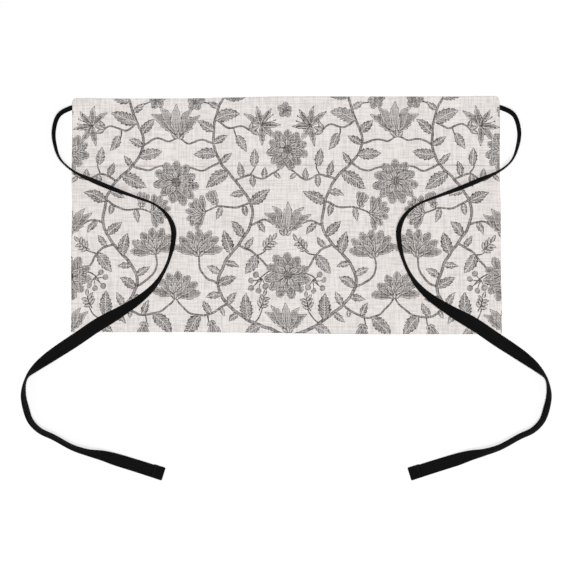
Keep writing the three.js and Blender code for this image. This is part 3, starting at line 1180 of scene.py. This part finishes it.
def crossing_lines(wire, place, across, along):
    """Lines of noise up the cloth and across it, above and below 0."""
    up = wire.noise(place, (across, along, None))
    return up + wire.noise(place, (along, across, None)) - 1.0


def linen(name):
    """The apron's cloth, with ink where the mesh says that it is printed."""
    material, wire, surface = new_finish(name, roughness=0.92)
    place = wire.add("ShaderNodeTexCoord", output="Object")
    slub = crossing_lines(wire, place, SLUB_ACROSS, SLUB_ALONG)
    yarn = crossing_lines(wire, place, YARN_ACROSS, YARN_ALONG)
    tone = CLOTH_TONE + SLUB_TONE * slub + YARN_TONE * yarn
    colour = tone.mix(LINEN_DEEP, LINEN_PALE)
    blotch = even_noise(wire, place, BLOTCH_SIZE, detail=4.0)
    grain = even_noise(wire, place, GRAIN_SIZE)
    taken_up = 0.60 - 0.3 * blotch + 0.75 * grain - 0.7 * yarn - 0.4 * slub
    colour = (print_ink(wire, place) * taken_up).mix(colour, INK)
    wire.plug(surface.inputs["Base Color"], colour)

    x, y, _ = place.parts()
    weave = (x * (2 * pi / WEAVE_PITCH)).sine() * (y * (2 * pi / WEAVE_PITCH)).sine()
    height = 0.35 * weave + 0.8 * slub + 0.6 * yarn
    emboss(wire, surface, height, strength=0.35, depth=0.2 * MM)
    return material


printed_linen = linen("printed_linen")
print("cloth finish:", printed_linen.name)

# %% [markdown]
# ## The panels
# A printed sheet could take its design from a texture, but the design is made of shapes with sharp
# edges, so they are cut into the sheet itself, like inlay. One triangulation takes the panel's
# outline, the edge and the spine of every blade, and a scatter of plain points, and returns
# triangles that no edge crosses. Each triangle then lies in or out of each blade, and the last
# blade that covers it gives its ink. The points are lifted to the cloth's top, a rounded rim goes
# round the edge, and a sheet of larger triangles closes the back. The back is plain but for the
# hems, which are turned in and so show the printed side.

# %% Cutting the print into a sheet
CUT_TOLERANCE = 1e-4
MERGED_PLACES = 3  # decimals of a millimetre to which two cut points are one
THIN_BLADE = 0.9  # half-width up to which a blade has no points along its spine
LEAST_HALF = 0.1  # half-width of the outline of a blade where it ends in a point


def blade_edge(spine, half):
    """Outline of a blade, anticlockwise."""
    ahead = unit(np.gradient(spine, axis=0))
    reach = np.column_stack([-ahead[:, 1], ahead[:, 0]]) * np.maximum(half, LEAST_HALF)[:, None]
    return np.vstack([spine - reach, (spine + reach)[::-1]])


def inset_rows(outline, distances):
    """Points along lines that follow the outline at these distances inside it."""
    ahead = unit(np.roll(outline, -1, axis=0) - np.roll(outline, 1, axis=0))
    inward = np.column_stack([-ahead[:, 1], ahead[:, 0]])
    return np.vstack([outline + inward * distance for distance in distances])


def plain_points(outline, step):
    """A staggered grid of points inside the outline's box, in millimetres."""
    low, high = outline.min(0) + step / 3, outline.max(0) - step / 3
    rows = np.linspace(low[1], high[1], ceil((high[1] - low[1]) / step))
    points = []
    for k, y in enumerate(rows):
        points.append(row_at(np.arange(low[0] + step / 2 * (k % 2), high[0], step), y))
    return np.vstack(points)


def cut(outline, blades, extra):
    """Triangles inside the outline that no blade's edge crosses, with the blade that each is in."""
    loops = [outline] + [blade_edge(spine, half) for _, _, spine, half in blades]
    ends = np.cumsum([len(loop) for loop in loops])
    faces = [list(range(end - len(loop), end)) for loop, end in zip(loops, ends)]
    spines = [spine[1:-1] for _, _, spine, half in blades if half.max() > THIN_BLADE]
    ends = ends[-1] + np.cumsum([0] + [len(spine) for spine in spines])
    edges = [(k, k + 1) for first, last in zip(ends, ends[1:]) for k in range(first, last - 1)]
    points = [Vector(point) for point in np.vstack(loops + spines + [extra])]
    places, _, triangles, _, _, covers = delaunay_2d_cdt(points, edges, faces, 1, CUT_TOLERANCE)
    kept = [k for k, cover in enumerate(covers) if 0 in cover]
    blade = np.array([max(covers[k]) - 1 for k in kept])
    triangles = np.array([triangles[k] for k in kept])
    places = np.array([tuple(place) for place in places])
    rounded = places.round(MERGED_PLACES)
    _, first, same = np.unique(rounded, axis=0, return_index=True, return_inverse=True)
    triangles = same.ravel()[triangles]
    whole = (triangles != np.roll(triangles, 1, axis=1)).all(1)
    used, triangles = np.unique(triangles[whole], return_inverse=True)
    return places[first][used], triangles.reshape(-1, 3), blade[whole]


print("edge of a large leaf:", len(blade_edge(*leaf(28, 14, teeth=7)[0][2:])), "points")

# %% Ink of each triangle


def in_blade(points, spine, half):
    """How far along a spine, how far to its side and how far inside the edge each point is."""
    start, run = spine[:-1], np.diff(spine, axis=0)
    square = (run**2).sum(1)
    t = np.clip(((points[:, None] - start) * run).sum(2) / square, 0, 1)
    off = points[:, None] - start - t[..., None] * run
    best = np.hypot(off[..., 0], off[..., 1]).argmin(1)
    row = np.arange(len(points))
    t, off, run = t[row, best], off[row, best], run[best]
    away = np.hypot(*off.T)
    side = np.sign(run[:, 0] * off[:, 1] - run[:, 1] * off[:, 0])
    girth = half[best] + t * (half[best + 1] - half[best])
    along = lengths_along(spine)[best] + t * np.sqrt(square[best])
    return np.column_stack([along, side * away, np.maximum(girth - away, 0)])


def inked(places, triangles, blade, blades):
    """Kind and fill of each triangle, and where in its blade each of its corners is."""
    kind, fill = np.full(len(triangles), float(PLAIN)), np.zeros(len(triangles))
    corners = np.zeros((len(triangles), 3, 3))
    order = np.argsort(blade, kind="stable")
    first = np.searchsorted(blade[order], np.arange(len(blades) + 1))
    for k, (a, b) in enumerate(zip(first, first[1:])):
        if b > a:
            mine = order[a:b]
            kind[mine], fill[mine], spine, half = blades[k]
            spots = places[triangles[mine]].reshape(-1, 2)
            corners[mine] = in_blade(spots, spine, half).reshape(-1, 3, 3)
    return kind, fill, corners


middle_of_leaf = in_blade(np.array([[0.0, 14.0]]), *leaf(28, 14, bend=0)[0][2:])[0]
print("middle of a leaf: along, aside and inside, mm:", np.round(middle_of_leaf, 1))

# %% Rim of a sheet
RIM = 0.3 * MM


def rim_loop(places, triangles, start):
    """The vertices round the edge of a sheet, anticlockwise from the one at start, and how far
    round each of them is, up to the way back to the first."""
    sides = {(t[k - 1], t[k]) for t in triangles.tolist() for k in range(3)}
    after = {a: b for a, b in sides if (b, a) not in sides}
    loop = [min(after)]
    while after[loop[-1]] != loop[0]:
        loop.append(after[loop[-1]])
    first = np.linalg.norm(places[loop] - start, axis=1).argmin()
    loop = loop[first:] + loop[:first]
    way = lengths_along(places[loop + loop[:1]])
    return loop, way / way[-1]


def zip_loops(upper, upper_way, lower, lower_way):
    """Triangles between two loops that run side by side, whose vertices are spaced differently."""
    faces = []
    i = j = 0
    while i < len(upper) or j < len(lower):
        here, below = upper[i % len(upper)], lower[j % len(lower)]
        if j == len(lower) or (i < len(upper) and upper_way[i + 1] <= lower_way[j + 1]):
            i += 1
            faces.append((below, upper[i % len(upper)], here))
        else:
            j += 1
            faces.append((below, lower[j % len(lower)], here))
    return faces


print("rim stands", RIM / MM, "mm proud of the cut edge")

# %% Building a panel
GRID_STEP = 5.0  # millimetres between the plain points of the printed side
BACK_STEP = 9.0
BACK_ROWS = np.array([HEM_WIDTH - HEM_STEP, HEM_WIDTH + HEM_STEP]) / MM


def make_panel(name, outline, top, under, blades, extra, turned_in=()):
    """A closed sheet: the printed side, a back with the print that is turned in, and a rim."""
    flat = outline / MM
    front_points = np.vstack([plain_points(flat, GRID_STEP), extra / MM])
    back_points = np.vstack([plain_points(flat, BACK_STEP), inset_rows(flat, BACK_ROWS)])
    front, triangles, blade = cut(flat, blades, front_points)
    kind, fill, corners = inked(front, triangles, blade, blades)
    back, back_triangles, blade = cut(flat, turned_in, back_points)
    back_kind, back_fill, back_corners = inked(back, back_triangles, blade, turned_in)
    loop, way = rim_loop(front, triangles, flat[0])
    back_loop, back_way = rim_loop(back, back_triangles, flat[0])

    front, back = front * MM, back * MM
    edge = front[loop]
    ahead = np.roll(edge, -1, axis=0) - np.roll(edge, 1, axis=0)
    outward = unit(np.column_stack([ahead[:, 1], -ahead[:, 0]]))
    points = [
        np.column_stack([front, top(*front.T)]),
        np.column_stack([back, under(*back.T)]),
        np.column_stack([edge + outward * RIM, (under(*edge.T) + top(*edge.T)) / 2]),
    ]
    back_start = len(front)
    rim_start = back_start + len(back)
    rim = [rim_start + k for k in range(len(loop))]
    faces = triangles.tolist() + (back_triangles[:, ::-1] + back_start).tolist()
    faces += zip_loops(loop, way, rim, way)
    faces += zip_loops(rim, way, [back_start + k for k in back_loop], back_way)
    panel = mesh_object(name, as_laid(np.vstack(points)), faces, [printed_linen])

    for title, values in (("kind", (kind, back_kind)), ("fill", (fill, back_fill))):
        ink = np.zeros(len(faces))
        ink[:len(kind) + len(back_kind)] = np.concatenate(values)
        panel.data.attributes.new(title, "FLOAT", "FACE").data.foreach_set("value", ink)
    measure = np.zeros((len(faces), 3, 3))
    measure[:len(kind) + len(back_kind)] = np.concatenate([corners, back_corners[:, ::-1]])
    layer = panel.data.attributes.new("blade", "FLOAT_VECTOR", "CORNER")
    layer.data.foreach_set("vector", measure.ravel())
    return panel


print("plain points, mm apart:", GRID_STEP, "in front and", BACK_STEP, "at the back")

# %% The body panel
EDGE_STEP = 4 * MM
HEM_ROWS = np.array([0.6, 1.8, 8.2, 9.2, 10.2, 11.6, 13.0]) * MM  # of points, inwards from the edge
HEM_MARGIN = 1.4  # widths of a hem from the side edge, within which a blade may be turned in
WITHIN_POINTS = 20
BODY_PRINT_FROM = (MOUTH_Y - 30 * MM) / MM  # further down, in the pockets, it has no print


def in_hems(blade):
    """Whether a blade reaches into the hems of the body panel."""
    _, _, spine, half = blade
    x, y = spine.T
    beside = (np.abs(x) + half > (HALF_WIDTH - HEM_MARGIN * HEM_WIDTH) / MM).any()
    below = (y - half).min() < (HEM_Y + HEM_WIDTH) / MM
    above = (y + half).max() > (WAIST_Y - HEM_WIDTH) / MM
    return beside or below or above


def turned_in_print(blades):
    """The blades in the hems, and a plain one that covers the cloth within the hems."""
    y = np.linspace(HEM_Y + HEM_WIDTH, WAIST_Y - HEM_WIDTH, WITHIN_POINTS)
    left, right = side_edge(y, -1), side_edge(y, 1)
    middle = np.linspace(right[0] - left[0], right[-1] - left[-1], len(y)) / 2
    spine = np.column_stack([middle, y]) / MM
    within = (PLAIN, 0, spine, ((right + left) / 2 - HEM_WIDTH) / MM)
    return [blade for blade in blades if in_hems(blade)] + [within]


body_edge = panel_outline(WAIST_Y, WAIST_CORNER, EDGE_STEP)
body_print = [blade for blade in design if blade[2][:, 1].max() > BODY_PRINT_FROM]
body_extra = inset_rows(body_edge, HEM_ROWS)
body = make_panel(
    "apron_body", body_edge, body_top, body_under, body_print, body_extra, turned_in_print(design)
)
print(body.name, "has", len(body.data.polygons), "faces")

# %% The pocket panel
ROW_STEP = 3 * MM  # between the points of a row along a line of stitches
MOUTH_LINE = MOUTH_Y - MOUTH_HEM + STITCH_INSET
MOUTH_ROWS = (-MM, 0, MM, -STITCH_INSET - HEM_STEP, -STITCH_INSET + HEM_STEP)  # up from that line
SEAM_ROWS = (-2.2 * MM, -MM, 0, MM, 2.2 * MM)  # beside a seam between two pockets
POCKET_PRINT_TO = MOUTH_Y / MM + 8  # blades that start above this stay off the pocket panel

pocket_edge = panel_outline(MOUTH_Y, OTHER_CORNER, EDGE_STEP)
pocket_print = [blade for blade in design if blade[2][:, 1].min() < POCKET_PRINT_TO]
across = np.arange(-HALF_WIDTH + MM, HALF_WIDTH, ROW_STEP)
upright = np.arange(HEM_Y + MM, MOUTH_Y, ROW_STEP)
pocket_extra = [inset_rows(pocket_edge, HEM_ROWS)]
pocket_extra += [row_at(across, MOUTH_LINE + more) for more in MOUTH_ROWS]
for side in SIDES:
    for more in SEAM_ROWS:
        pocket_extra.append(row_at(upright, side * POCKET_WIDTH / 2 + more)[:, ::-1])
pocket = make_panel(
    "apron_pocket", pocket_edge, pocket_top, pocket_under, pocket_print, np.vstack(pocket_extra)
)
print(pocket.name, "has", len(pocket.data.polygons), "faces")

for panel, node in ((body, "body_panel"), (pocket, "pocket_panel")):
    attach(panel, "root")
    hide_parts(node)

# %% [markdown]
# ## Stitches
# The hems, the seams between the pockets and the turned ends of the ties are sewn by machine, so
# each stitch is a short thread that dips into the cloth at both ends. Lines in a bump map would do
# from far away, but they look flat from the side. One stitch is modelled here, from a small sphere
# that is drawn out in edit mode. Its copies go along every seam, turned to the seam and laid on the
# cloth. Those on one side of a panel are joined in one mesh, and so are those on one tie.

# %% One stitch
STITCH_LENGTH = 2.6 * MM
STITCH_WIDTH = 0.55 * MM
STITCH_HEIGHT = 0.36 * MM
MIDDLE = (0, 0, 0)

bpy.ops.object.select_all(action="DESELECT")
bpy.ops.mesh.primitive_uv_sphere_add(segments=6, ring_count=5, radius=0.5)
one_stitch = bpy.context.object
bpy.ops.object.mode_set(mode="EDIT")
bpy.ops.mesh.select_all(action="SELECT")
stitch_size = (STITCH_LENGTH, STITCH_WIDTH, STITCH_HEIGHT)
bpy.ops.transform.rotate(value=pi / 2, orient_axis="Y", center_override=MIDDLE)
bpy.ops.transform.resize(value=stitch_size, center_override=MIDDLE)
bpy.ops.object.mode_set(mode="OBJECT")
stitch_points = np.array([vertex.co for vertex in one_stitch.data.vertices])
stitch_faces = [tuple(face.vertices) for face in one_stitch.data.polygons]
bpy.data.objects.remove(one_stitch)
measured = np.round(np.ptp(stitch_points, axis=0) / MM, 2)
print("one stitch has", len(stitch_faces), "faces, size in mm:", measured)

# %% Sewing along lines
STITCH_SPACING = 3.3 * MM
STITCH_SWAY = 0.06 * MM  # how far each end of a stitch strays
stray = np.random.default_rng(5)


def sew(name, lines, top, finish, lay=as_laid):
    """Stitches along lines of x, y points, on the surface that top gives the height of. lay moves
    them to where they lie."""
    points = []
    for line in lines:
        length = lengths_along(line)[-1]
        count = round(length / STITCH_SPACING)
        for way in (np.arange(count) + 0.5) * length / count:
            ends = places_along(line, way + np.array([-0.5, 0.5]) * STITCH_LENGTH)
            ends += stray.normal(0, STITCH_SWAY, (2, 2))
            ends = np.column_stack([ends, top(*ends.T)])
            ahead = unit(ends[1] - ends[0])
            aside = np.cross(UP, ahead)
            turn = np.array([ahead, aside, np.cross(ahead, aside)])
            points.append(ends.mean(0) + stitch_points @ turn)
    size = len(stitch_points)
    faces = [tuple(k * size + v for v in face) for k in range(len(points)) for face in stitch_faces]
    piece = mesh_object(name, lay(np.vstack(points)), faces, [finish])
    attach(piece, "root")
    print(name, "has", len(points), "stitches")
    return piece


print("stitches are", round(STITCH_SPACING / MM, 1), "mm apart")

# %% Seams of the panels
SEWN_LINE = HEM_WIDTH - STITCH_INSET
SEAM_END = 2 * MM  # from the end of a level seam to the side seam
SIDE_POINTS = 40
TACK_INSETS = (8 * MM, 16 * MM)  # the two short rows that hold the end of a tie
TACK_REACH = 6 * MM
waist_seam = WAIST_Y - SEWN_LINE
bottom_seam = HEM_Y + SEWN_LINE


def side_line(side, low, high):
    """The line of stitches in a side hem."""
    y = np.linspace(low, high, SIDE_POINTS)
    return np.column_stack([side * (side_edge(y, side) - SEWN_LINE), y])


def level_line(y):
    """A line of stitches from side to side."""
    reach = HALF_WIDTH - SEWN_LINE - SEAM_END
    return np.array([(-reach, y), (reach, y)])


def upright_line(x, low, high):
    return np.array([(x, low), (x, high)])


hem_lines = [level_line(waist_seam)]
hem_lines += [side_line(side, MOUTH_Y + MM, waist_seam) for side in SIDES]
tack_lines = [
    upright_line(side * (HALF_WIDTH - inward), TIE_Y - TACK_REACH, TIE_Y + TACK_REACH)
    for side in SIDES
    for inward in TACK_INSETS
]
seam_lines = [side_line(side, bottom_seam, MOUTH_Y - MM) for side in SIDES]
seam_lines.append(level_line(bottom_seam))
seam_lines += [upright_line(side * POCKET_WIDTH / 2, bottom_seam, MOUTH_Y - MM) for side in SIDES]
body_stitches, pocket_stitches, back_stitches = (
    sew(name, lines, height, pale_thread)
    for name, lines, height in (
        ("body_stitches", hem_lines + tack_lines, body_top),
        ("pocket_stitches", seam_lines + [level_line(MOUTH_LINE)], pocket_top),
        ("back_stitches", hem_lines + seam_lines, body_under),
    )
)

# %% Stitches in the turned ends of the ties


def sew_tie_end(name, ring):
    """A row of stitches across the tape, on top of the ring that is sewn through."""

    def height(x, y):
        return np.full_like(x, ring[:, 2].max())

    line = ring[[1, TAPE_POINTS - 2], :2]
    return sew(name, [line], height, black_thread, lay=np.asarray)


left_stitches = sew_tie_end("tie_left_stitches", left_end)
right_stitches = sew_tie_end("tie_right_stitches", right_end)

# %% [markdown]
# ## Floor and light
# The apron lies on a plain white surface that is lit until it comes out pure white. The main lamp
# hangs high above the pocket mouths, which throw next to no shadow under it. A weak lamp in front
# of the apron throws a faint one on the waist side of whatever stands up, as along the free ends
# of the ties. White surroundings and a little glow of the surface itself fill the rest.

# %% White surface, two soft lamps and white surroundings
FLOOR_SIZE = 12.0
FLOOR_WHITE = (0.93, 0.93, 0.93, 1)
FLOOR_GLOW = 0.02
SURROUND = 0.10
LAMPS = (
    # name, place, size in metres, power in watts
    ("lamp_above", (0.06, 0.0, 4.4), 0.6, 160.0),
    ("lamp_in_front", (0.06, -1.2, 4.2), 0.5, 30.0),
)

bpy.ops.object.select_all(action="DESELECT")
bpy.ops.mesh.primitive_plane_add(size=FLOOR_SIZE, location=(0, 0, 0))
floor = bpy.context.object
floor.name = "white_surface"
floor_finish, _, floor_shader = new_finish("white_surface", roughness=0.9)
floor_shader.inputs["Base Color"].default_value = FLOOR_WHITE
floor_shader.inputs["Emission Color"].default_value = FLOOR_WHITE
floor_shader.inputs["Emission Strength"].default_value = FLOOR_GLOW
floor.data.materials.append(floor_finish)

for name, place, size, power in LAMPS:
    bpy.ops.object.light_add(type="AREA", location=place)
    lamp = bpy.context.object
    lamp.name = name
    lamp.data.size = size
    lamp.data.energy = power
    aim = Vector((0, PHOTO_MIDDLE_Y, 0)) - Vector(place)
    lamp.rotation_euler = aim.to_track_quat("-Z", "Y").to_euler()
    print(name, "gives", power, "W")

world = bpy.data.worlds.new("white_surroundings")
world.use_nodes = True
background = world.node_tree.nodes["Background"]
background.inputs["Color"].default_value = (1, 1, 1, 1)
background.inputs["Strength"].default_value = SURROUND
bpy.context.scene.world = world
bpy.context.scene.view_settings.view_transform = "Standard"
print("surroundings at", SURROUND)

# %% [markdown]
# ## Declaring the soft pieces
# The frame is told what each soft piece is, so that it can measure it: a tie is a cord of its real
# length, and a panel is a sheet of the size that it was cut to.

soft_ties = ((tie_left, left_middle, left_stitches), (tie_right, right_middle, right_stitches))
for tie, middle, stitches in soft_ties:
    side = np.sign(middle[0, 0])
